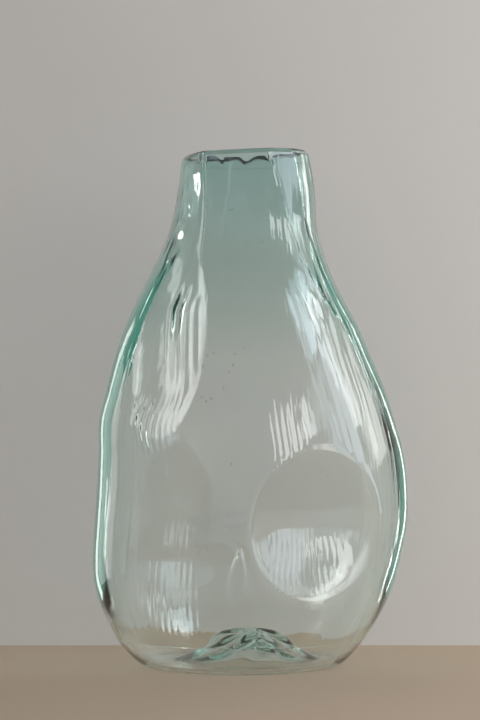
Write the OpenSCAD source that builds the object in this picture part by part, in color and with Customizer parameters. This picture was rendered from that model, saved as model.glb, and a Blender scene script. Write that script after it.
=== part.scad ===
// A hand blown glass vase: a dented pear-shaped bubble with a faceted neck, a sheared
// and fire-polished lip, a pushed-up base and the scar that the pontil rod left.
// Millimetres, +Z up, the front is -Y and the right is +X. The origin is on the
// surface that the vase stands on, under the middle of its width and depth.
// Angles on the vase run from the front (0) towards the right (90).

/* [Size] */
// Height to the highest point of the lip
vase_h = 400; // [360:5:440]
// Width across the belly
belly_w = 244; // [220:1:270]
// Depth of the belly, front to back, as a share of its width
depth_share = 0.93; // [0.85:0.01:1]
// Thickness of the blown wall where it is thinnest, at the front of the belly
wall_t = 2.1; // [1.8:0.1:3]

/* [Mouth] */
// Height of the lip below its deepest notch
lip_h = 4; // [4:0.5:8]
// Thickness of the lip
lip_t = 3.4; // [3:0.1:4.5]
// How much lower the sheared lip is at its outside than at its inside
lip_slope = 3; // [0.5:0.25:3]
// Depth of the deepest notch along the back of the lip
lip_wave = 4; // [0:0.5:5]
// How much lower the lip is on the left than on the right
mouth_tilt = 3.5; // [0:0.5:6]
// How far the neck goes from round to a seven-sided shape
neck_flatness = 0.75; // [0:0.05:0.85]

/* [Base] */
// Thickness of the glass in the base
base_t = 3; // [2.5:0.25:5]
// Radius of the outside of the ring that the vase stands on
foot_r = 72; // [68:1:76]
// Height of the hollow pushed up under the base
push_up_h = 18; // [12:1:22]
// How much thicker the base is at the top of the push-up
dome_t = 6; // [0:0.5:7]
// Distance of the push-up from the middle of the base, towards the right
push_up_shift = 6; // [0:1:8]
// Outer radius of the scar that the pontil rod left
pontil_r = 11; // [8:0.5:13]

/* [Dents] */
// Depth of the round dent, low on the right of the front
front_dent = 23; // [0:1:25]
// Depth of the long dent, high on the left of the front
shoulder_dent = 10; // [0:1:13]
// Depth of the long shallow dent, low on the left of the front
left_dent = 6; // [0:1:10]

/* [Mesh] */
// Number of points round the wall
round_n = 72; // [48:4:72]
// Number of rings up the wall
ring_n = 40; // [30:2:42]

/* [Hidden] */

glass = [0.62, 0.82, 0.76, 0.45];
clear = 0.05;         // what keeps a cutter past the face that it cuts
curve_steps = 12;     // straight pieces in each curve of the base's outline
lip_soft = 0.5;       // radius that the fire gave to the lip's edges
lip_steps = 3;        // straight pieces round each of those edges

// The wall's outline on a vase of the nominal height and width: height, how far
// the section's middle is to the right, and the section's half width.
nominal_h = 400;
nominal_w = 244;
outline = [
    [22, -7, 96.5], [36, -6, 105], [52, -5, 112.5], [68, -4, 117.5],
    [86, -2, 120], [112, 1, 121.5], [140, 2, 120.5], [165, 1, 118.5],
    [190, -2, 115], [215, -3, 108], [240, -5, 99.5], [265, -6, 90], [290, -7, 78],
    [315, -6, 66.5], [340, -4.6, 58.3], [370, -3.3, 54.4], [402, -4.6, 50]
];

// Dents: angle, height, half width, half height, lean to the right, depth, then how
// softly the edge starts low on the left and high on the right, where 1 is a fold. The
// front dent is a shallow one with a fold for an edge and a deeper, softer one.
dents = [
    [29, 113, 58, 56, 32, 0.35 * front_dent, 1.0, 1.6],
    [29, 114, 60, 60, 32, 0.65 * front_dent, 1.7, 2.1],
    [-40, 250, 34, 74, -6, shoulder_dent, 1.3, 1.12],
    [-31, 104, 42, 80, 0, left_dent, 1.5, 1.8]
];

// The belly is oval between these heights, and round at the base and the mouth.
oval_from = 90;
oval_to = 250;
neck_top = 400;
// The neck's flats start to show at this height and are full at the next one.
flats_from = 235;
flats_full = 380;
// Ridges between the flats: angle at the lip, and turn for each millimetre below it.
ridges = [
    [-40, 0.12], [21, 0.29], [49, 0.17], [82, 0.2], [132, 0.15], [190, 0.12],
    [255, 0.12]
];
ridge_soft = 2.2;     // degrees over which a ridge is rounded
// Notches along the back of the lip: angle, depth as a share of the deepest, and
// reach to either side.
notches = [[226, 1, 5, 14], [204, 0.55, 5, 9], [177, 0.9, 12, 9], [150, 0.4, 10, 12]];

high = vase_h / nominal_h;
wide = belly_w / nominal_w;
base_h = outline[0][0] * high;
base_x = outline[0][1] * wide;
base_r = outline[0][2] * wide;
base_wall = 3.6;      // width of the ring where the wall meets the base
heel_pull = 9.5;      // how far the heel bulges past the foot before it turns up
lip_base = vase_h - mouth_tilt - lip_wave - lip_h;

function smooth(a, b, v) =
    let (t = min(max((v - a) / (b - a), 0), 1)) t * t * (3 - 2 * t);

// Slope of column c of the outline at station i, from the stations beside it.
function slope(i, c) =
    let (lo = max(i - 1, 0), hi = min(i + 1, len(outline) - 1))
    (outline[hi][c] - outline[lo][c]) / (outline[hi][0] - outline[lo][0]);

function station(z, i = 0) =
    i >= len(outline) - 2 || z < outline[i + 1][0] ? i : station(z, i + 1);

// Column c of the outline at height z, on a smooth curve through the stations.
function along(z, c) =
    let (
        i = station(z),
        step = outline[i + 1][0] - outline[i][0],
        t = (z - outline[i][0]) / step,
        u = 1 - t
    )
    outline[i][c] * u * u * (1 + 2 * t) + outline[i + 1][c] * t * t * (3 - 2 * t)
    + step * t * u * (slope(i, c) * u - slope(i + 1, c) * t);

function turn(a) = a - 360 * round(a / 360);
function ahead(a) = a - 360 * floor(a / 360);

function dented(dent, a, z, r) =
    let (
        side = turn(a - dent[0]) * PI / 180 * r,
        rise = z - dent[1],
        across = (side * cos(dent[4]) - rise * sin(dent[4])) / dent[2],
        up = (side * sin(dent[4]) + rise * cos(dent[4])) / dent[3],
        t = across * across + up * up,
        power = dent[6]
            + (dent[7] - dent[6]) * smooth(-0.6, 0.7, 0.8 * across + 0.5 * up)
    )
    t < 1 ? dent[5] * pow(1 - t, power) : 0;

function sum(v, i = 0) = i < len(v) ? v[i] + sum(v, i + 1) : 0;

function ridge(i, z) = ridges[i][0] + ridges[i][1] * (neck_top - z);

// How much the flat after ridge i pulls the radius in, as a share.
function flat_pull(i, a, z) =
    let (
        start = ridge(i, z),
        width = ahead(ridge((i + 1) % len(ridges), z) - start),
        past = ahead(a - start),
        near = sqrt(pow(min(past, width - past), 2) + pow(ridge_soft, 2))
    )
    past < width ? 1 - cos(width / 2) / cos(max(width / 2 - near, 0)) : 0;

function flats(a, z) =
    neck_flatness * smooth(flats_from, flats_full, z)
    * sum([for (i = [0 : len(ridges) - 1]) flat_pull(i, a, z)]);

// Radius of the outside at angle a and nominal height z.
function nominal_r(a, z) =
    let (
        w = along(z, 2),
        oval = smooth(outline[0][0], oval_from, z)
            * (1 - smooth(oval_to, neck_top, z)),
        d = w * (1 - (1 - depth_share) * oval),
        r = w * d / sqrt(pow(d * sin(a), 2) + pow(w * cos(a), 2)),
        sunk = sum([for (dent = dents) dented(dent, a, z, r)])
    )
    r * (1 - flats(a, z)) - sunk * smooth(outline[0][0], outline[0][0] + 16, z);

function middle(z) = along(z / high, 1) * wide;
function outer_r(a, z) = nominal_r(a, z / high) * wide;

// Horizontal width of a wall of the wanted thickness, which is more on a slope.
function level_width(a, z, thickness) =
    let (
        r = outer_r(a, z),
        rise = (outer_r(a, z + 1) - outer_r(a, z - 1)) / 2,
        swing = (outer_r(a + 1, z) - outer_r(a - 1, z)) / 2 / (r * PI / 180)
    )
    thickness * sqrt(1 + rise * rise + swing * swing);

// The wall is thicker at the sides of the belly, up the neck and just above the base.
function thickness(a, z) =
    let (
        sides = pow(abs(sin(a)), 6) * (sin(a) < 0 ? 1.6 : 1.3),
        belly = smooth(26, 70, z) * (1 - smooth(290, 350, z))
    )
    wall_t * (1 + 0.85 * smooth(200, 320, z) - 0.25 * smooth(350, 395, z)
    + sides * belly + 0.5 * (1 - smooth(base_h, 60, z)));

function inner_r(a, z) =
    z <= base_h ? base_r - base_wall
    : let (blend = smooth(base_h, base_h + 12, z))
      outer_r(a, z) - (1 - blend) * base_wall
      - blend * level_width(a, z, thickness(a, z));

function at(a, r, z) = [middle(z) + r * sin(a), -r * cos(a), z];

// A tube of glass from rings of points that run up the outside, over the top and
// down the inside. The last ring is joined to the first.
module ring_solid(rings) {
    n = len(rings[0]);
    m = len(rings);
    polyhedron(
        [for (ring = rings) each ring],
        [
            for (i = [0 : m - 1], j = [0 : n - 1])
                let (
                    k = (j + 1) % n,
                    a = i * n + j,
                    b = i * n + k,
                    c = (i + 1) % m * n + k,
                    d = (i + 1) % m * n + j
                )
                each [[a, d, c], [a, c, b]]
        ],
        convexity = 8
    );
}

function angles() = [for (j = [0 : round_n - 1]) 360 * j / round_n];

module blown_wall() {
    heights = [
        for (i = [0 : ring_n]) base_h + (lip_base - base_h) * i / ring_n
    ];
    color(glass)
        ring_solid([
            for (z = heights) [for (a = angles()) at(a, outer_r(a, z), z)],
            for (i = [ring_n : -1 : 0])
                [for (a = angles()) at(a, inner_r(a, heights[i]), heights[i])]
        ]);
}

// Share of a notch's depth that is left at an angle past its middle.
function notch(off, below, above) =
    pow(1 - smooth(0, 1, off < 0 ? -off / below : off / above), 1.3);

// Height of the lip's inside, which is lower on the left and notched along the back.
function lip_top(a) =
    vase_h - mouth_tilt * (1 - sin(a)) / 2
    - lip_wave * sum([
        for (n = notches) n[1] * notch(turn(a - n[0]), n[2], n[3])
    ]);

// A ring of points on a rounded edge of the lip, turned up from its outside. The edge
// is below the lip's top by drop, and its middle is sunk_in from the outside.
function lip_ring(turned, drop, sunk_in) = [
    for (a = angles())
        let (z = lip_top(a) - drop, r = outer_r(a, z) - sunk_in)
        at(a, r + lip_soft * cos(turned), z - lip_soft * (1 - sin(turned)))
];

module fire_polished_lip() {
    steep = 90 - atan(lip_slope / lip_t);
    color(glass)
        ring_solid([
            [for (a = angles()) at(a, outer_r(a, lip_base), lip_base)],
            for (i = [0 : lip_steps])
                lip_ring(steep * i / lip_steps, lip_slope, lip_soft),
            for (i = [0 : lip_steps])
                lip_ring(
                    steep + (180 - steep) * i / lip_steps, 0, lip_t - lip_soft
                ),
            [for (a = angles()) at(a, inner_r(a, lip_base), lip_base)]
        ]);
}

// Points on a curve from a to c that leaves and arrives along the lines through b.
function bend(a, b, c) = [
    for (i = [0 : curve_steps])
        let (t = i / curve_steps)
        a * pow(1 - t, 2) + b * 2 * t * (1 - t) + c * t * t
];

// Half section of a mound: flat on top, and sloping down to nothing at its edge.
function mound(edge_r, top_r, foot, top) = [
    [0, foot],
    [edge_r, foot],
    for (i = [1 : curve_steps])
        let (t = i / curve_steps)
        [
            edge_r + (top_r - edge_r) * t,
            foot + (top - foot) * pow((1 - cos(180 * t)) / 2, 0.7)
        ],
    [0, top]
];

module push_up_base() {
    push_up_r = foot_r - 14;
    floor_r = base_r - base_wall;
    dome_top = base_t + push_up_h + dome_t;
    color(glass)
        translate([base_x, 0, 0])
            difference() {
                union() {
                    // the heel and the floor inside it
                    rotate_extrude($fn = 96)
                        polygon([
                            [0, 0],
                            each bend(
                                [foot_r, 0],
                                [foot_r + heel_pull, 0],
                                [base_r, base_h]
                            ),
                            each bend(
                                [floor_r, base_h],
                                [foot_r + heel_pull - 2, base_t],
                                [foot_r - 2, base_t]
                            ),
                            [0, base_t]
                        ]);
                    translate([push_up_shift, 0, base_t - 1])
                        rotate_extrude($fn = 96)
                            polygon(mound(
                                push_up_r + 2, pontil_r + 4, 0, dome_top - base_t + 1
                            ));
                }
                translate([push_up_shift, 0, -clear])
                    rotate_extrude($fn = 96)
                        polygon(mound(
                            push_up_r, pontil_r + 2, 0, push_up_h + clear
                        ));
            }
}

// A ragged ring of the pontil's own glass, stuck to the top of the push-up.
module pontil_mark() {
    ring_w = 4;
    ring_t = 1.6;
    color(glass)
        translate([base_x + push_up_shift, 0, push_up_h - ring_t])
            rotate_extrude($fn = 64)
                polygon([
                    [pontil_r - ring_w, ring_t],
                    [pontil_r - ring_w + 0.8, 0.4],
                    [pontil_r - ring_w / 2, 0],
                    [pontil_r - 0.6, 0.5],
                    [pontil_r, ring_t]
                ]);
}

blown_wall();
fire_polished_lip();
push_up_base();
pontil_mark();
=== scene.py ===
"""A hand blown glass vase on a plain pale floor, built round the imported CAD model.

Lengths are in metres. The vase's own formulas work in millimetres on a vase of the
nominal size, and place() turns them into points in the frame. Angles on the vase run
in degrees from the front (0) towards the right (90).
"""
import math

import bpy
import numpy as np
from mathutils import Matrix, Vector


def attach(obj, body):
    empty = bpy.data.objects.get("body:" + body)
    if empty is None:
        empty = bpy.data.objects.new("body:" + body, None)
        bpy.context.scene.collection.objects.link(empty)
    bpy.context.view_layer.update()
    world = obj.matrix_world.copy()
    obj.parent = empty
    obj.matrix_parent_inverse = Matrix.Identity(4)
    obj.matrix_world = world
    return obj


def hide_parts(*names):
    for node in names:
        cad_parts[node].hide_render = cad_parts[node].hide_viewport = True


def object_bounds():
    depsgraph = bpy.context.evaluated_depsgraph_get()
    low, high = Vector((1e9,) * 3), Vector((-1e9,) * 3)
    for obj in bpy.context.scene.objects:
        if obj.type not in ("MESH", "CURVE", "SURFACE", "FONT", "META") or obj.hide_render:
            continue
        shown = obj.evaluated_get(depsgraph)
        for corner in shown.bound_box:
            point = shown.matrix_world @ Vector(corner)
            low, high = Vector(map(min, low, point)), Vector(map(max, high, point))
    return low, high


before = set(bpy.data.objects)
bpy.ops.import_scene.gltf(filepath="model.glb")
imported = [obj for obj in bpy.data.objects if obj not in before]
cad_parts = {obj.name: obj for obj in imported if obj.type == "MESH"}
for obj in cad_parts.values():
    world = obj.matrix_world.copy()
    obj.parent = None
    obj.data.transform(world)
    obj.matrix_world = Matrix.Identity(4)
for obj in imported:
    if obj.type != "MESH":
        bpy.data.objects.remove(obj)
cad_low, cad_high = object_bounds()

# ---------------------------------------------------------------- sizes
MM = 0.001
NOMINAL_H = 400
NOMINAL_W = 245.1
TALL = (cad_high.z - cad_low.z) / (NOMINAL_H * MM)
WIDE = (cad_high.x - cad_low.x) / (NOMINAL_W * MM)

# Height, how far the section's middle is to the right, and the section's half width.
OUTLINE = np.array([
    [22, -7, 96.5], [36, -6, 105], [52, -5, 112.5], [68, -4, 117.5],
    [86, -2, 120], [112, 1, 121.5], [140, 2, 120.5], [165, 1, 118.5],
    [190, -2, 115], [215, -3, 108], [240, -5, 99.5], [265, -6, 90], [290, -7, 78],
    [315, -6, 66.5], [340, -4.6, 58.3], [370, -3.3, 54.4], [402, -4.6, 50],
], float)
DEPTH_SHARE = 0.93
OVAL_FROM, OVAL_TO = 90, 250

# Angle, height, half width, half height, lean to the right and depth of each dent,
# then how softly its edge starts low on the left and high on the right (1 is a fold).
# The first two together make the front dent.
DENTS = [
    (29, 113, 58, 56, 32, 8, 1.0, 1.6),
    (29, 114, 60, 60, 32, 15, 1.7, 2.1),
    (-40, 250, 34, 74, -6, 10, 1.3, 1.12),
    (-31, 104, 42, 80, 0, 6, 1.5, 1.8),
]

# The ridges between the neck's flats: angle at the lip, and turn for each millimetre
# below it.
RIDGES = [(-40, 0.12), (21, 0.29), (49, 0.17), (82, 0.2), (132, 0.15), (190, 0.12),
          (255, 0.12)]
RIDGE_SHARE = 0.75    # how far the neck goes from round to that polygon
RIDGE_SOFT = 2.2      # degrees over which a ridge is rounded
NECK_TOP = NOMINAL_H
FLATS_FROM, FLATS_FULL = 235, 380

BASE_H = 22
BASE_T = 3
BASE_WALL = 3.6
FOOT_R = 72
STAND_W = 2           # how wide the ring is that the vase stands on
HEEL_PULL = 9.5       # how far past the foot the curve of the heel is pulled
PUSH_UP_H = 18
PEAK_X, PEAK_Y = 11, -2    # where the push-up is highest, from the middle of the base
DOME_T = 6            # how much thicker the base is there
PONTIL_R = 8.5
LIP_T = 3.4
LIP_SLOPE = 3.0       # how much lower the lip is outside than inside
LIP_SOFT = 0.5
MOUTH_TILT = 3.5
LIP_H = 4
LIP_WAVE = 4
LIP_BASE = NOMINAL_H - MOUTH_TILT - LIP_WAVE - LIP_H
# Notches along the back of the lip: angle, depth, and reach to either side.
NOTCHES = [(226, 4.0, 5, 14), (204, 2.2, 5, 9), (177, 3.6, 12, 9), (150, 1.6, 10, 12)]
WALL_T = 2.1
WALL_RINGS = 140
GAP = 0.02            # air between two pieces that are fused on the real vase

# Heights along the crease of the shoulder dent, and its angle at each.
CREASE = ([200, 232, 276, 338, 360], [-32, -36, -43, -31, -29])
PINCH_DEEP = 2.8
THREAD_DEEP, THREAD_HALF = 1.3, 1.3
LEAF_FOOT, LEAF_LONG, LEAF_HALF, LEAF_DEEP = 56, 42, 7.0, 2.4
STALK_HALF, STALK_DEEP = 1.1, 1.4
# Heights along the leaf's stalk, and how far to the right it is at each.
STALK = ([88, 98, 112], [-7, -9, -22])


# ---------------------------------------------------------------- the vase's shape
def smooth(lo, hi, v):
    """A share that eases from 0 at lo to 1 at hi."""
    t = np.clip((np.asarray(v, float) - lo) / (hi - lo), 0, 1)
    return t * t * (3 - 2 * t)


def along(z, column):
    """A column of the outline at heights z, on a smooth curve through the stations."""
    heights, values = OUTLINE[:, 0], OUTLINE[:, column]
    slopes = np.empty_like(values)
    slopes[1:-1] = (values[2:] - values[:-2]) / (heights[2:] - heights[:-2])
    slopes[0] = (values[1] - values[0]) / (heights[1] - heights[0])
    slopes[-1] = (values[-1] - values[-2]) / (heights[-1] - heights[-2])
    z = np.clip(z, heights[0], heights[-1])
    i = np.clip(np.searchsorted(heights, z, side="right") - 1, 0, len(heights) - 2)
    step = heights[i + 1] - heights[i]
    t = (z - heights[i]) / step
    u = 1 - t
    return (values[i] * u * u * (1 + 2 * t) + values[i + 1] * t * t * (3 - 2 * t)
            + step * t * u * (slopes[i] * u - slopes[i + 1] * t))


def turn(a):
    """The same angle, within 180 degrees of the front."""
    return a - 360 * np.round(a / 360)


def flats(a, z):
    """How much the neck's flats pull its radius in, as a share."""
    below = NECK_TOP - np.asarray(z, float)
    pull = 0
    for i, (angle, twist) in enumerate(RIDGES):
        next_angle, next_twist = RIDGES[(i + 1) % len(RIDGES)]
        start = angle + twist * below
        across = (next_angle + next_twist * below - start) % 360
        past = (a - start) % 360
        half = np.radians(across / 2)
        near = np.radians(np.minimum(past, across - past))
        near = np.sqrt(near ** 2 + math.radians(RIDGE_SOFT) ** 2)
        chord = np.cos(half) / np.cos(np.maximum(half - near, 0))
        pull = pull + np.where(past < across, 1 - chord, 0)
    return -RIDGE_SHARE * smooth(FLATS_FROM, FLATS_FULL, z) * pull


def ripples(a, z):
    """Slow waves that drawing the glass out has left in its outside."""
    t = np.radians(a)
    waves = (0.20 * np.sin(7 * t + 1.3 + z / 90) * np.sin(z / 61 + 0.4)
             + 0.14 * np.sin(13 * t - 0.4 - z / 70) * np.cos(z / 83)
             + 0.10 * np.sin(23 * t + 2 + z / 120) * np.sin(z / 54 + 2)
             + 0.05 * np.sin(41 * t + 1 - z / 60) * np.sin(z / 71 + 1))
    # The neck's left flat is wavy all the way up.
    left = np.exp(-(turn(a + 64) / 16) ** 2) * smooth(290, 320, z)
    return waves * smooth(25, 60, z) + 0.55 * left * np.sin(z / 3.3 + 0.5 * np.sin(z / 9))


def folds(a, z, r):
    """Upright folds where the shoulder dent was pinched, either side of a crease."""
    s = np.radians(turn(a - np.interp(z, *CREASE))) * r
    deep = smooth(205, 250, z) * (1 - smooth(272, 300, z))
    pinched = smooth(250, 262, z) * (1 - smooth(276, 292, z)) * np.exp(-(s / 2.4) ** 2)
    waves = -0.8 * np.cos(2 * np.pi * s / 10.5) + 0.1 * np.sin(s / 0.9 + z / 15)
    return deep * np.exp(-((s - 5) / 17) ** 2) * waves - PINCH_DEEP * pinched


# Fields of upright draw lines: angle, half width in degrees, height, half height,
# depth, spacing, and how far it is up from one wobble to the next.
STREAKS = [
    (42, 22, 245, 95, 0.10, 8, 23), (222, 34, 70, 50, 0.25, 7, 12),
    (27, 15, 98, 32, 0.32, 5.5, 6), (-52, 12, 85, 75, 0.14, 9, 23),
    (-44, 14, 185, 26, 0.40, 6, 7), (-29, 14, 72, 45, 0.28, 6, 19),
    (27, 13, 338, 24, 0.12, 6.5, 20), (15, 10, 184, 34, 0.13, 5, 22),
]


def streaks(a, z, r):
    """Wobbly upright draw lines, in the fields above."""
    depth = 0
    for angle, half_w, height, half_h, deep, spacing, wobble in STREAKS:
        off = turn(a - angle)
        s = np.radians(off) * r
        inside = np.exp(-(off / half_w) ** 4 - ((z - height) / half_h) ** 4)
        wave = np.sin(2 * np.pi * s / spacing + 1.4 * np.sin(z / wobble + angle) + s / 13)
        wave = wave * (0.6 + 0.4 * np.sin(z / 13 + s / 6))
        wave = wave + 0.4 * np.sin(z / 10 + 1.5 * np.sin(s / 8 + angle))
        depth = depth + deep * inside * wave
    return depth


def in_dent(dent, a, z, r):
    """How far across and up a dent a point is, its edge being at 1 from its middle."""
    angle, height, half_w, half_h, lean = dent[:5]
    lean = math.radians(lean)
    side = np.radians(turn(a - angle)) * r
    across = (side * math.cos(lean) - (z - height) * math.sin(lean)) / half_w
    up = (side * math.sin(lean) + (z - height) * math.cos(lean)) / half_h
    return across, up


def high_right(low, high, across, up):
    """A share that goes from 0 low on the left of a dent to 1 high on its right."""
    return smooth(low, high, 0.8 * across + 0.5 * up)


def thread(a, z, r):
    """A thin raised line along the low left edge of the front dent."""
    across, up = in_dent(DENTS[0], a, z, r)
    past = (np.hypot(across, up) - 1) * DENTS[0][2]
    share = 1 - high_right(-0.75, 0.1, across, up)
    return THREAD_DEEP * share * np.exp(-(past / THREAD_HALF) ** 2)


def leaf(a, z, r):
    """A leaf-shaped thick spot with a stalk, low on the front."""
    s = np.radians(turn(a)) * r
    up = z - LEAF_FOOT
    middle = -7 + 0.08 * (up - 20) + 0.8 * np.sin(up / 9)
    half = LEAF_HALF * np.sin(np.pi * np.clip(up / LEAF_LONG, 0, 1) ** 0.8) + 1e-6
    blade = np.clip(1 - ((s - middle) / half) ** 2, 0, 1) ** 0.5 * smooth(0, 4, up)
    stalk = np.exp(-((s - np.interp(z, *STALK)) / STALK_HALF) ** 2)
    stalk = stalk * smooth(86, 90, z) * (1 - smooth(106, 112, z))
    return LEAF_DEEP * blade * (1 - smooth(38, LEAF_LONG, up)) + STALK_DEEP * stalk


def shape(a, z):
    """Radius of the outside at angles a and heights z, without its fine relief, and the
    radius before the dents and the flats."""
    w = along(z, 2)
    oval = smooth(OUTLINE[0, 0], OVAL_FROM, z) * (1 - smooth(OVAL_TO, NECK_TOP, z))
    d = w * (1 - (1 - DEPTH_SHARE) * oval)
    s, c = np.sin(np.radians(a)), np.cos(np.radians(a))
    r = w * d / np.sqrt((d * s) ** 2 + (w * c) ** 2)
    sunk = 0
    for dent in DENTS:
        across, up = in_dent(dent, a, z, r)
        depth, soft_low, soft_high = dent[5:]
        power = soft_low + (soft_high - soft_low) * high_right(-0.6, 0.7, across, up)
        sunk = sunk + depth * np.clip(1 - across ** 2 - up ** 2, 0, 1) ** power
    sunk = sunk * smooth(BASE_H, BASE_H + 16, z)
    return r * (1 + flats(a, z)) - sunk, r


def relief(a, z, r):
    """Everything on the outside that is too fine for the CAD."""
    lines = streaks(a, z, r) + thread(a, z, r) + leaf(a, z, r) + folds(a, z, r)
    return ripples(a, z) + lines * smooth(BASE_H + 2, BASE_H + 14, z)


def outer(a, z):
    """Radius of the outside at angles a and heights z."""
    plain, r = shape(a, z)
    return plain + relief(a, z, r)


def thickness(a, z):
    """The glass is thin at the front and back of the belly, and thick at its sides, in
    the neck and just above the base."""
    sides = np.abs(np.sin(np.radians(a))) ** 6
    left = np.sin(np.radians(a)) < 0
    t = WALL_T * (1 + 0.85 * smooth(200, 320, z) - 0.25 * smooth(350, 395, z)
                  + (1.3 + 0.3 * left) * sides * smooth(26, 70, z) * (1 - smooth(290, 350, z))
                  + 0.5 * (1 - smooth(BASE_H, 60, z)))
    wander = (np.sin(np.radians(2 * a + 40)) * np.sin(z / 47 + 1)
              + 0.7 * np.sin(np.radians(5 * a - 70)) * np.sin(z / 31 + 2)
              + 0.5 * np.sin(np.radians(9 * a + 0.6 * z)) * np.sin(z / 23))
    return t + 0.22 * wander * smooth(BASE_H + 4, 40, z) * (1 - smooth(360, 388, z))


def inner(a, z):
    """Radius of the inside, which follows the outside's fine relief less closely."""
    plain, r = shape(a, z)
    rise = (shape(a, z + 1)[0] - shape(a, z - 1)[0]) / 2
    swing = (shape(a + 1, z)[0] - shape(a - 1, z)[0]) / 2 / np.radians(plain)
    level = thickness(a, z) * np.sqrt(1 + rise ** 2 + swing ** 2)
    blend = smooth(BASE_H, BASE_H + 12, z)
    deep = plain + 0.4 * relief(a, z, r)
    return deep - (1 - blend) * BASE_WALL - blend * level


def place(a, r, z):
    """Points in the frame from angles, radii and heights on the nominal vase."""
    a, r, z = np.broadcast_arrays(np.radians(a), r, np.asarray(z, float))
    x = (along(z, 1) + r * np.sin(a)) * WIDE
    return np.stack([x, -r * np.cos(a) * WIDE, z * TALL], -1) * MM


# ---------------------------------------------------------------- meshes
def closed_mesh(name, rings, seams=(), poles=None, voids=()):
    """A closed surface through rings of points. Without poles the last ring joins the
    first; with poles, the two ends close on those points. seams are the strips of
    faces, counted from the first ring, that lie against another piece. voids are the
    points and faces of hollows inside the glass."""
    m, n = rings.shape[:2]
    points = rings.reshape(-1, 3)
    j = np.arange(n)
    k = (j + 1) % n
    faces, seam = [], []
    for i in range(m if poles is None else m - 1):
        a, b = i * n, (i + 1) % m * n
        faces += np.stack([a + j, a + k, b + k, b + j], -1).tolist()
        seam += [i in seams] * n
    if poles is not None:
        points = np.vstack([points, poles])
        first, last = m * n, m * n + 1
        faces += np.stack([np.full(n, first), k, j], -1).tolist()
        faces += np.stack([np.full(n, last), (m - 1) * n + j, (m - 1) * n + k], -1).tolist()
        seam += [False] * (2 * n)
    for more_points, more_faces in voids:
        faces += [[len(points) + i for i in face] for face in more_faces]
        seam += [False] * len(more_faces)
        points = np.vstack([points, more_points])
    mesh = bpy.data.meshes.new(name)
    mesh.from_pydata(points.tolist(), [], faces)
    mesh.validate()
    mark = mesh.attributes.new("seam", "FLOAT", "FACE")
    mark.data.foreach_set("value", np.array(seam, np.float32))
    mesh.shade_smooth()
    mesh.set_sharp_from_angle(angle=math.radians(35))
    piece = bpy.data.objects.new(name, mesh)
    bpy.context.scene.collection.objects.link(piece)
    return piece


# Closer together over the front, and closest at the leaf and the thread.
angles = np.concatenate([np.arange(-52, -10, 0.5), np.arange(-10, 12, 0.25),
                         np.arange(12, 60, 0.6), np.arange(60, 308, 2.75)])


# Seeds, which are tiny bubbles in the wall: angle, height, half width and half height,
# all of them shown a little larger than that.
SEED_SCALE = 1.4
SEEDS = [
    (1, 247, 0.55, 0.9), (-4, 241, 0.5, 0.6), (-5, 233, 0.6, 0.8), (-7, 228, 0.5, 0.5),
    (-10, 216, 0.6, 0.7), (-19, 209, 0.5, 0.5), (-17, 206, 0.6, 0.5), (-15, 208, 0.5, 0.7),
    (-17, 240, 0.4, 0.6), (-14, 242, 0.5, 0.4), (-19, 232, 0.4, 0.7), (-21, 220, 0.4, 0.4),
    (-13, 351, 0.9, 0.35), (-11, 352, 0.4, 0.4), (17, 326, 0.4, 0.5), (3, 323, 0.35, 0.4),
    (-44, 204, 0.5, 1.2), (-42, 197, 0.6, 0.6), (-47, 200, 0.4, 0.9), (-17, 96, 0.7, 0.6),
    (-20, 94, 0.5, 0.9), (33, 150, 0.4, 0.4), (-8, 160, 0.35, 0.9), (12, 186, 0.4, 0.4),
    (120, 200, 0.5, 0.8), (150, 150, 0.4, 0.7), (200, 240, 0.5, 0.6), (240, 130, 0.4, 0.8),
    (170, 300, 0.4, 0.6), (95, 90, 0.5, 0.5), (275, 180, 0.4, 0.7), (215, 310, 0.4, 0.5),
]


def seed(angle, z, half_w, half_h):
    """Points and faces of one seed in the middle of the wall, facing inwards."""
    half_w, half_h = SEED_SCALE * half_w, SEED_SCALE * half_h
    middle = (outer(angle, z) + inner(angle, z)) / 2
    around, levels = 8, (52, 18, -18, -52)
    points = [place(angle, middle, z + end * half_h) for end in (1, -1)]
    for up in np.radians(levels):
        for way in np.radians(np.arange(around) * 360 / around):
            side = half_w * math.cos(up) * math.cos(way)
            depth = 0.6 * half_w * math.cos(up) * math.sin(way)
            at = angle + np.degrees(side / middle)
            points.append(place(at, middle + depth, z + half_h * math.sin(up)))
    first = [2 + level * around for level in range(len(levels))]
    faces = []
    for j in range(around):
        k = (j + 1) % around
        faces.append((0, first[0] + k, first[0] + j))
        faces.append((1, first[-1] + j, first[-1] + k))
        for low in first[:-1]:
            faces.append((low + j, low + k, low + around + k, low + around + j))
    return points, faces


def blown_wall():
    """The wall from the base to the lip, with its seeds."""
    heights = np.linspace(BASE_H + GAP, LIP_BASE - GAP, WALL_RINGS)
    outside = np.stack([place(angles, outer(angles, z), z) for z in heights])
    inside = np.stack([place(angles, inner(angles, z), z) for z in heights[::-1]])
    rings = np.concatenate([outside, inside])
    return closed_mesh("blown_wall_glass", rings, seams=(WALL_RINGS - 1, 2 * WALL_RINGS - 1),
                       voids=[seed(*values) for values in SEEDS])


def lip_top(a):
    """Height of the lip, which is lower on the left and notched along the back."""
    a = np.asarray(a, float)
    top = NOMINAL_H - MOUTH_TILT * (1 - np.sin(np.radians(a))) / 2
    for angle, depth, below, above in NOTCHES:
        off = turn(a - angle)
        off = np.where(off < 0, -off / below, off / above)
        top = top - depth * (1 - smooth(0, 1, off)) ** 1.3
    return top


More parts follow.
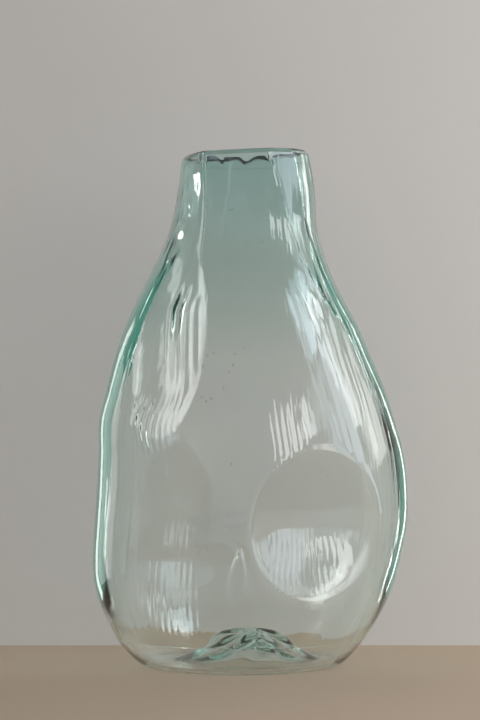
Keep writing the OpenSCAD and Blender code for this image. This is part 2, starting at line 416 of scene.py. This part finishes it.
def fire_polished_lip():
    top = lip_top(angles)
    low = top - LIP_SLOPE
    rings = [place(angles, outer(angles, LIP_BASE), LIP_BASE)]
    for share in (0.35, 0.7):
        z = LIP_BASE + share * (low - LIP_BASE)
        rings.append(place(angles, outer(angles, z), z))
    r_out, r_in = outer(angles, low), outer(angles, top) - LIP_T
    slope = math.atan2(LIP_SLOPE, LIP_T)
    soft = LIP_SOFT
    for turned in np.linspace(0, math.pi / 2 - slope, 5):
        r = r_out - soft + soft * math.cos(turned)
        rings.append(place(angles, r, low - soft + soft * math.sin(turned)))
    for turned in np.linspace(math.pi / 2 - slope, math.pi, 9):
        r = r_in + soft + soft * math.cos(turned)
        rings.append(place(angles, r, top - soft + soft * math.sin(turned)))
    for share in (0.7, 0.35, 0):
        z = LIP_BASE + share * (top - soft - LIP_BASE)
        rings.append(place(angles, inner(angles, z), z))
    rings = np.stack(rings)
    return closed_mesh("fire_polished_lip_glass", rings, seams=(len(rings) - 1,))


def push_up(x, y):
    """Height of the hollow under the base, over a point of the floor."""
    cx, cy, reach = 5.0, 2.0, 60.0      # the ring where it starts
    dx, dy = x - PEAK_X, y - PEAK_Y
    d = np.hypot(dx, dy) + 1e-9
    ux, uy = dx / d, dy / d
    fx, fy = PEAK_X - cx, PEAK_Y - cy
    b = fx * ux + fy * uy
    edge = -b + np.sqrt(np.maximum(b * b - (fx * fx + fy * fy) + reach * reach, 1))
    t = np.clip(d / edge, 0, 1)
    bell = ((1 + np.cos(np.pi * t)) / 2) ** 0.7
    way = np.arctan2(dy, dx)
    wavy = 0.10 * np.sin(3 * way + 0.6) + 0.07 * np.sin(7 * way + 5 * t)
    return PUSH_UP_H * bell * (1 + wavy * np.sin(np.pi * t) ** 2)


def floor_top(x, y):
    """Height of the inside of the base over a point of the floor."""
    low = push_up(x, y)
    lumps = 0.4 * np.sin(x / 11 + 1.2) * np.cos(y / 14 + 0.5)
    return low + BASE_T + (DOME_T * low + lumps * np.minimum(low, 8)) / PUSH_UP_H


def curve(start, pull, end, t):
    """What a share t along a curve from start to end is, with pull drawing its middle."""
    return start * (1 - t) ** 2 + pull * 2 * t * (1 - t) + end * t * t


def push_up_base():
    base_r = OUTLINE[0, 2]
    inner_r = base_r - BASE_WALL
    ring_r = FOOT_R - STAND_W
    a = np.radians(angles)

    def ring(r, z):
        x = OUTLINE[0, 1] + r * np.sin(a)
        y = -r * np.cos(a)
        z = np.broadcast_to(z, a.shape)
        return np.stack([x * WIDE, y * WIDE, z * TALL], -1) * MM

    def over(r, height=push_up):
        return height(r * np.sin(a), -r * np.cos(a))

    rings = []
    for r in np.linspace(1.5, FOOT_R - 5, 40):
        rings.append(ring(r, over(r)))
    rings.append(ring(ring_r, 0))
    for t in np.linspace(0, 1, 16):
        rings.append(ring(curve(FOOT_R, FOOT_R + HEEL_PULL, base_r, t), curve(0, 0, BASE_H, t)))
    seam = len(rings) - 1
    for t in np.linspace(0, 1, 18):
        r = curve(inner_r, ring_r + HEEL_PULL, ring_r, t)
        rings.append(ring(r, curve(BASE_H, BASE_T, BASE_T, t) + over(r)))
    for r in np.linspace(ring_r - 1.4, 1.5, 44):
        rings.append(ring(r, over(r, floor_top)))
    rings = np.stack(rings)
    middle = [OUTLINE[0, 1] * WIDE * MM, 0]
    low, high = push_up(0.0, 0.0), floor_top(0.0, 0.0)
    poles = [middle + [low * TALL * MM], middle + [high * TALL * MM]]
    return closed_mesh("push_up_base_glass", rings, seams=(seam,), poles=poles)


def pontil_mark():
    n = 72
    a = np.radians(np.arange(n) * 360 / n)
    cx, cy = OUTLINE[0, 1] + PEAK_X, PEAK_Y
    rings = []
    for turned in np.radians(np.arange(12) * 30):
        chip = 0.35 * np.sin(5 * a + 2 * turned) + 0.3 * np.sin(11 * a - turned + 1)
        r = PONTIL_R + (2.0 + 0.6 * chip) * math.cos(turned)
        x, y = cx + r * np.sin(a), cy - r * np.cos(a)
        top = push_up(x - OUTLINE[0, 1], y) - 0.05
        z = top - 0.9 + (0.9 + 0.3 * chip * (math.sin(turned) < 0)) * math.sin(turned)
        rings.append(np.stack([x * WIDE, y * WIDE, z * TALL], -1) * MM)
    return closed_mesh("pontil_mark_glass", np.stack(rings)[::-1])


# ---------------------------------------------------------------- materials
def node_tools(material):
    material.use_nodes = True
    nodes, links = material.node_tree.nodes, material.node_tree.links
    nodes.clear()

    def add(kind, **values):
        node = nodes.new(kind)
        for key, value in values.items():
            if key.startswith("in_"):
                node.inputs[int(key[3:])].default_value = value
            else:
                setattr(node, key, value)
        return node

    return add, links.new


def ramp(add, link, source, start, end, first=0.0, last=1.0):
    """A value that goes from first to last as the source goes from start to end."""
    node = add("ShaderNodeMapRange", in_1=start, in_2=end, in_3=first, in_4=last)
    link(source, node.inputs[0])
    return node.outputs[0]


def combined(add, link, operation, one, other):
    node = add("ShaderNodeMath", operation=operation)
    link(one, node.inputs[0])
    link(other, node.inputs[1])
    return node.outputs[0]


def draw_lines(add, link, x, y, z, depth):
    """Fine upright lines, deepest round the back, and faint low on the front and up the
    neck."""
    drawn = add("ShaderNodeCombineXYZ")
    link(combined(add, link, "ARCTAN2", x, y), drawn.inputs[0])
    link(z, drawn.inputs[1])
    stretch = add("ShaderNodeMapping", in_3=(14, 9, 1))
    link(drawn.outputs[0], stretch.inputs[0])
    lines = add("ShaderNodeTexNoise", in_2=1.0, in_3=3.0, in_4=0.55)
    link(stretch.outputs[0], lines.inputs["Vector"])
    front = ramp(add, link, z, 0.10, 0.19, 0.12, 0.4)
    back = ramp(add, link, y, 0.0, 0.05)
    neck = ramp(add, link, z, 0.25, 0.33, 1.0, 0.35)
    strength = combined(add, link, "MULTIPLY", combined(add, link, "MAXIMUM", front, back), neck)
    bump = add("ShaderNodeBump", in_1=depth)
    link(strength, bump.inputs["Strength"])
    link(lines.outputs[0], bump.inputs["Height"])
    return bump.outputs[0]


def glass(name, color, density, bump=1.0, roughness=0.0):
    """Clear tinted glass, greener up the neck, that doesn't bend light at its seams."""
    material = bpy.data.materials.new(name)
    add, link = node_tools(material)
    out = add("ShaderNodeOutputMaterial")
    shader = add("ShaderNodeBsdfPrincipled")
    shader.inputs["Transmission Weight"].default_value = 1
    shader.inputs["IOR"].default_value = 1.5
    shader.inputs["Roughness"].default_value = roughness
    seam = add("ShaderNodeAttribute", attribute_name="seam")
    link(ramp(add, link, seam.outputs["Fac"], 0, 1, 1.5, 1.0), shader.inputs["IOR"])

    where = add("ShaderNodeTexCoord")
    split = add("ShaderNodeSeparateXYZ")
    link(where.outputs["Object"], split.inputs[0])
    x, y, z = split.outputs
    link(draw_lines(add, link, x, y, z, 0.0004 * bump), shader.inputs["Normal"])

    mix = add("ShaderNodeMix", data_type="RGBA")
    mix.inputs[6].default_value = (1.0, 1.0, 0.99, 1)
    mix.inputs[7].default_value = (0.68, 0.81, 0.795, 1)
    link(ramp(add, link, z, 0.24, 0.39), mix.inputs[0])
    link(mix.outputs[2], shader.inputs["Base Color"])

    depth = add("ShaderNodeVolumeAbsorption")
    depth.inputs["Color"].default_value = (*color, 1)
    depth.inputs["Density"].default_value = density
    link(shader.outputs[0], out.inputs["Surface"])
    link(depth.outputs[0], out.inputs["Volume"])
    return material


def one_sided(name, color):
    """A plain matt surface that can't be seen from behind."""
    material = bpy.data.materials.new(name)
    add, link = node_tools(material)
    out = add("ShaderNodeOutputMaterial")
    matt = add("ShaderNodeBsdfDiffuse", in_0=(*color, 1))
    clear = add("ShaderNodeBsdfTransparent")
    side = add("ShaderNodeNewGeometry")
    mix = add("ShaderNodeMixShader")
    link(side.outputs["Backfacing"], mix.inputs[0])
    link(matt.outputs[0], mix.inputs[1])
    link(clear.outputs[0], mix.inputs[2])
    link(mix.outputs[0], out.inputs["Surface"])
    return material


# ---------------------------------------------------------------- camera
def add_camera():
    lens = 139.4
    place_of = Vector((-0.0074, -2.170, 0.2293))
    target = Vector((-0.0074, 0, 0.2371))
    data = bpy.data.cameras.new("camera")
    data.lens = lens
    data.sensor_width = 36
    camera = bpy.data.objects.new("camera", data)
    camera.location = place_of
    camera.rotation_euler = (target - place_of).to_track_quat("-Z", "Y").to_euler()
    bpy.context.scene.collection.objects.link(camera)
    bpy.context.scene.camera = camera


# ---------------------------------------------------------------- stage and light
BACKDROP_Y = 0.155
PATCH_Y = BACKDROP_Y - 0.005


def sheet_of(name, corners, material):
    mesh = bpy.data.meshes.new(name)
    mesh.from_pydata(corners, [], [(0, 1, 2, 3)])
    mesh.materials.append(material)
    piece = bpy.data.objects.new(name, mesh)
    bpy.context.scene.collection.objects.link(piece)


def add_stage():
    reach, top, under = 6.0, 0.75, -0.0002
    sheet_of("floor", [(-reach, -reach, under), (reach, -reach, under),
                       (reach, reach, under), (-reach, reach, under)],
             one_sided("floor_paint", (0.80, 0.65, 0.51)))
    sheet_of("backdrop", [(-reach, BACKDROP_Y, under), (reach, BACKDROP_Y, under),
                          (reach, BACKDROP_Y, top), (-reach, BACKDROP_Y, top)],
             one_sided("wall_paint", (0.78, 0.775, 0.765)))


def panel(name, at, aim, width, height, color, strength, shines=True, shows=True,
          through=True, blocked=True):
    """A soft light, strength being its radiance. It may leave matt surfaces unlit, not
    show in the glass or through it, or cast no shadows."""
    data = bpy.data.lights.new(name, "AREA")
    data.shape = "RECTANGLE"
    data.size, data.size_y = width, height
    data.color = color
    data.energy = strength * math.pi * width * height
    data.use_shadow = blocked
    light = bpy.data.objects.new(name, data)
    light.location = at
    light.rotation_euler = (Vector(aim) - Vector(at)).to_track_quat("-Z", "Y").to_euler()
    light.visible_camera = False
    light.visible_diffuse = shines
    light.visible_glossy = shows
    light.visible_transmission = shows and through
    bpy.context.scene.collection.objects.link(light)


def add_window():
    """The panes of a window to the right, which the vase reflects."""
    side = 1.35
    warm, blue, white = (1.0, 0.98, 0.94), (0.76, 0.89, 1.0), (0.97, 0.99, 1.0)
    # Where each pane starts along y and how wide it is, its foot and its top, its colour,
    # how bright it is, and whether the inside of the glass shows it as well.
    panes = [
        (-1.20, 0.41, 0.0, 0.55, warm, 2.6, True), (-0.74, 0.29, 0.0, 1.20, blue, 2.0, True),
        (-0.40, 0.33, 0.0, 1.20, blue, 4.4, False), (-1.40, 0.30, 0.75, 1.20, white, 4.5, True),
        (-1.00, 0.21, 0.75, 1.20, white, 1.2, True), (-0.02, 0.26, 0.6, 1.20, white, 5.0, True),
        (-0.62, 0.22, 1.26, 2.35, blue, 4.4, True), (-0.37, 0.30, 1.26, 2.35, blue, 5.4, True),
        (-0.02, 0.26, 1.26, 2.35, white, 9.0, True), (-3.50, 1.90, 0.72, 1.50, white, 7.0, False),
    ]
    for i, (y, width, foot, top, color, strength, inside) in enumerate(panes):
        middle, z = y + width / 2, (foot + top) / 2
        panel(f"pane_{i}", (side, middle, z), (0, middle, z), width, top - foot, color,
              strength, shines=False, through=inside)


def add_light():
    """The window, a weak light from the room, one that only lights the stage, and what
    the vase's sides reflect."""
    add_window()
    panel("room", (2.4, -2.6, 0.9), (0, 0, 0.3), 2.0, 1.6, (1, 0.99, 0.97), 0.7, shows=False)
    panel("wash", (1.0, -0.9, 0.6), (0, BACKDROP_Y, 0.25), 0.6, 0.6, (1, 0.99, 0.98), 6.0,
          shows=False, blocked=False)
    # Bright patches on the wall, out of view, that the vase's sides pick up: where the
    # middle is, width, height, how bright it is, and whether it shows through the glass.
    patches = [
        ("right", 0.206, 0.24, 0.016, 0.46, 3.5, True),
        ("far", 0.71, 0.34, 0.58, 0.22, 2.8, True),
        ("left", -0.22, 0.17, 0.04, 0.32, 2.3, True),
        ("band", -0.38, 0.16, 0.26, 0.28, 1.15, False),
        ("neck", -0.29, 0.405, 0.06, 0.02, 8.0, False),
    ]
    for name, x, z, width, height, strength, through in patches:
        panel("patch_" + name, (x, PATCH_Y, z), (x, -1, z), width, height, (1, 1, 0.97),
              strength, shines=False, through=through)
    panel("left_fill", (-1.3, -0.20, 0.75), (0, -0.20, 0.75), 0.5, 0.8, (1, 1, 0.98), 3.5,
          shines=False)


def add_world():
    """An even room, dimmer overhead, and brighter in a reflection than the light that it
    gives."""
    world = bpy.data.worlds.new("world")
    world.use_nodes = True
    nodes, link = world.node_tree.nodes, world.node_tree.links.new
    where = nodes.new("ShaderNodeTexCoord")
    split = nodes.new("ShaderNodeSeparateXYZ")
    shade = nodes.new("ShaderNodeValToRGB")
    link(where.outputs["Generated"], split.inputs[0])
    link(split.outputs[2], shade.inputs[0])
    low, high = shade.color_ramp.elements
    low.color, low.position = (0.46, 0.465, 0.47, 1), 0.42
    high.color, high.position = (0.10, 0.10, 0.10, 1), 0.75
    path = nodes.new("ShaderNodeLightPath")
    bright = nodes.new("ShaderNodeMath")
    bright.operation = "MULTIPLY_ADD"
    bright.inputs[1].default_value = 0.2
    bright.inputs[2].default_value = 1.0
    link(path.outputs["Is Glossy Ray"], bright.inputs[0])
    link(shade.outputs[0], nodes["Background"].inputs[0])
    link(bright.outputs[0], nodes["Background"].inputs[1])
    bpy.context.scene.world = world


add_camera()
add_stage()
add_light()
add_world()

green = (0.08, 0.80, 0.70)
pieces = [
    (blown_wall(), "blown_wall", "green_glass", glass("wall_glass", green, 20)),
    (fire_polished_lip(), "fire_polished_lip", "lip_glass", glass("lip_glass", green, 20)),
    (push_up_base(), "push_up_base", "base_glass", glass("base_glass", green, 10, bump=0.1)),
    (pontil_mark(), "pontil_mark", "pontil_glass",
     glass("pontil_glass", green, 30, bump=1.5, roughness=0.15)),
]
for piece, node, slot, material in pieces:
    piece.data.materials.append(material)
    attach(piece, "root")
    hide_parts(node)

scene = bpy.context.scene
scene.cycles.max_bounces = 28
scene.cycles.transmission_bounces = 28
scene.cycles.glossy_bounces = 16
scene.cycles.transparent_max_bounces = 16
scene.view_settings.view_transform = "Standard"
